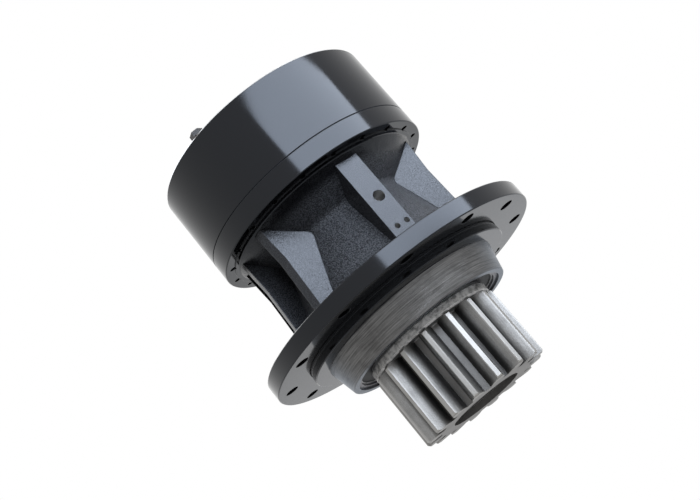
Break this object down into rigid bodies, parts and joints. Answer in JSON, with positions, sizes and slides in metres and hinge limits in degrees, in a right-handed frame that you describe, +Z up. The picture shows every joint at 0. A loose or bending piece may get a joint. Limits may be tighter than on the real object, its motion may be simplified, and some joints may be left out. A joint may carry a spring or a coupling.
{
  "type": "swing gearbox",
  "caption": "Two-stage planetary swing gearbox with a flanged cast neck, a round gear drum and an output pinion on bearings",
  "frame": {"origin": "centre of the mounting flange's seat face, on the output axis", "axes": "+Z up the output axis from the pinion to the motor face, -Y out of the rib with the port pad"},
  "size_m": [0.4, 0.4, 0.4615],
  "materials": {
    "bronze": "bronze thrust face",
    "cage_brass": "machined brass cage",
    "carrier_iron": "machined cast iron",
    "casing": "gloss black paint on a cast surface, bare turned nose below the pilot",
    "copper_washer": "soft copper sealing washer",
    "forging": "bare hobbed and turned steel",
    "gear_steel": "case-hardened gear steel",
    "ground_steel": "ground bearing steel",
    "hard_sleeve": "ground hardened steel",
    "housing": "gloss black paint, bare machined top edge",
    "plug": "gloss black paint over steel",
    "screws": "blackened steel",
    "seal_rubber": "black nitrile rubber",
    "spring_steel": "dark spring steel",
    "turned_steel": "bare turned steel"
  },
  "bodies": {
    "housing": {"lower_casing": "casing", "drum_band": "casing", "neck_webs": "casing", "port_rib": "casing", "upper_housing": "housing", "ring_gear": "gear_steel", "ring_gear_dowels": "spring_steel", "joint_dowels": "spring_steel", "drum_screws": "screws", "breather_plug": "plug", "breather_washer": "copper_washer", "lower_bearing_outer_race": "ground_steel", "upper_bearing_outer_race": "ground_steel", "upper_bearing_ring": "spring_steel", "seal_carrier": "turned_steel", "seal_carrier_ring": "spring_steel", "seal_carrier_oring": "seal_rubber", "output_seal": "seal_rubber"},
    "output": {"output_shaft": "forging", "seal_sleeve": "hard_sleeve", "lower_bearing_inner_race": "ground_steel", "upper_bearing_inner_race": "ground_steel", "bearing_spacer": "turned_steel", "bearing_shim": "turned_steel", "carrier_2": "carrier_iron", "stage_2_pins": "ground_steel", "stage_2_spring_pins": "spring_steel", "stage_2_washers": "bronze", "carrier_end_plate": "turned_steel", "end_plate_screws": "screws"},
    "lower_roller_set": {"lower_bearing_rollers": "ground_steel", "lower_bearing_cage": "cage_brass"},
    "upper_roller_set": {"upper_bearing_rollers": "ground_steel", "upper_bearing_cage": "cage_brass"},
    "first_carrier": {"carrier_1": "carrier_iron", "stage_1_pins": "ground_steel", "stage_1_pin_rings": "spring_steel", "stage_1_washers": "bronze", "sun_2": "gear_steel", "sun_2_ring": "spring_steel", "input_thrust_pad": "bronze"},
    "input_sun": {"sun_1": "gear_steel"},
    "output_planet_a": {"stage_2_planet_a": "gear_steel"},
    "output_needles_a": {"stage_2_rollers_a": "ground_steel"},
    "input_planet_a": {"stage_1_planet_a": "gear_steel"},
    "input_needles_a": {"stage_1_rollers_a": "ground_steel"},
    "output_planet_b": {"stage_2_planet_b": "gear_steel"},
    "output_needles_b": {"stage_2_rollers_b": "ground_steel"},
    "input_planet_b": {"stage_1_planet_b": "gear_steel"},
    "input_needles_b": {"stage_1_rollers_b": "ground_steel"},
    "output_planet_c": {"stage_2_planet_c": "gear_steel"},
    "output_needles_c": {"stage_2_rollers_c": "ground_steel"},
    "input_planet_c": {"stage_1_planet_c": "gear_steel"},
    "input_needles_c": {"stage_1_rollers_c": "ground_steel"}
  },
  "joints": [
    {"name": "output_spin", "type": "hinge", "parent": "housing", "child": "output", "pos_m": [0, 0, 0], "axis": [0, 0, 1], "continuous": true},
    {"name": "lower_rollers_spin", "type": "hinge", "parent": "housing", "child": "lower_roller_set", "pos_m": [0, 0, 0.007], "axis": [0, 0, 1], "continuous": true},
    {"name": "upper_rollers_spin", "type": "hinge", "parent": "housing", "child": "upper_roller_set", "pos_m": [0, 0, 0.142], "axis": [0, 0, 1], "continuous": true},
    {"name": "first_carrier_spin", "type": "hinge", "parent": "housing", "child": "first_carrier", "pos_m": [0, 0, 0.252], "axis": [0, 0, 1], "continuous": true},
    {"name": "input_spin", "type": "hinge", "parent": "housing", "child": "input_sun", "pos_m": [0, 0, 0.27], "axis": [0, 0, 1], "continuous": true},
    {"name": "output_planet_a_spin", "type": "hinge", "parent": "output", "child": "output_planet_a", "pos_m": [0.07275, -0.042, 0.214], "axis": [0, 0, 1], "continuous": true},
    {"name": "output_needles_a_spin", "type": "hinge", "parent": "output", "child": "output_needles_a", "pos_m": [0.07275, -0.042, 0.214], "axis": [0, 0, 1], "continuous": true},
    {"name": "input_planet_a_spin", "type": "hinge", "parent": "first_carrier", "child": "input_planet_a", "pos_m": [0, -0.078, 0.267], "axis": [0, 0, 1], "continuous": true},
    {"name": "input_needles_a_spin", "type": "hinge", "parent": "first_carrier", "child": "input_needles_a", "pos_m": [0, -0.078, 0.267], "axis": [0, 0, 1], "continuous": true},
    {"name": "output_planet_b_spin", "type": "hinge", "parent": "output", "child": "output_planet_b", "pos_m": [0, 0.084, 0.214], "axis": [0, 0, 1], "continuous": true},
    {"name": "output_needles_b_spin", "type": "hinge", "parent": "output", "child": "output_needles_b", "pos_m": [0, 0.084, 0.214], "axis": [0, 0, 1], "continuous": true},
    {"name": "input_planet_b_spin", "type": "hinge", "parent": "first_carrier", "child": "input_planet_b", "pos_m": [0.06755, 0.039, 0.267], "axis": [0, 0, 1], "continuous": true},
    {"name": "input_needles_b_spin", "type": "hinge", "parent": "first_carrier", "child": "input_needles_b", "pos_m": [0.06755, 0.039, 0.267], "axis": [0, 0, 1], "continuous": true},
    {"name": "output_planet_c_spin", "type": "hinge", "parent": "output", "child": "output_planet_c", "pos_m": [-0.07275, -0.042, 0.214], "axis": [0, 0, 1], "continuous": true},
    {"name": "output_needles_c_spin", "type": "hinge", "parent": "output", "child": "output_needles_c", "pos_m": [-0.07275, -0.042, 0.214], "axis": [0, 0, 1], "continuous": true},
    {"name": "input_planet_c_spin", "type": "hinge", "parent": "first_carrier", "child": "input_planet_c", "pos_m": [-0.06755, 0.039, 0.267], "axis": [0, 0, 1], "continuous": true},
    {"name": "input_needles_c_spin", "type": "hinge", "parent": "first_carrier", "child": "input_needles_c", "pos_m": [-0.06755, 0.039, 0.267], "axis": [0, 0, 1], "continuous": true}
  ],
  "couplings": [
    {"joint": "lower_rollers_spin", "follows": "output_spin", "ratio": 0.4364},
    {"joint": "upper_rollers_spin", "follows": "output_spin", "ratio": 0.44},
    {"joint": "first_carrier_spin", "follows": "output_spin", "ratio": 4},
    {"joint": "input_spin", "follows": "output_spin", "ratio": 20.8},
    {"joint": "output_planet_a_spin", "follows": "output_spin", "ratio": -3},
    {"joint": "output_needles_a_spin", "follows": "output_spin", "ratio": -1.803},
    {"joint": "input_planet_a_spin", "follows": "output_spin", "ratio": -10.5},
    {"joint": "input_needles_a_spin", "follows": "output_spin", "ratio": -6.428},
    {"joint": "output_planet_b_spin", "follows": "output_spin", "ratio": -3},
    {"joint": "output_needles_b_spin", "follows": "output_spin", "ratio": -1.803},
    {"joint": "input_planet_b_spin", "follows": "output_spin", "ratio": -10.5},
    {"joint": "input_needles_b_spin", "follows": "output_spin", "ratio": -6.428},
    {"joint": "output_planet_c_spin", "follows": "output_spin", "ratio": -3},
    {"joint": "output_needles_c_spin", "follows": "output_spin", "ratio": -1.803},
    {"joint": "input_planet_c_spin", "follows": "output_spin", "ratio": -10.5},
    {"joint": "input_needles_c_spin", "follows": "output_spin", "ratio": -6.428}
  ]
}
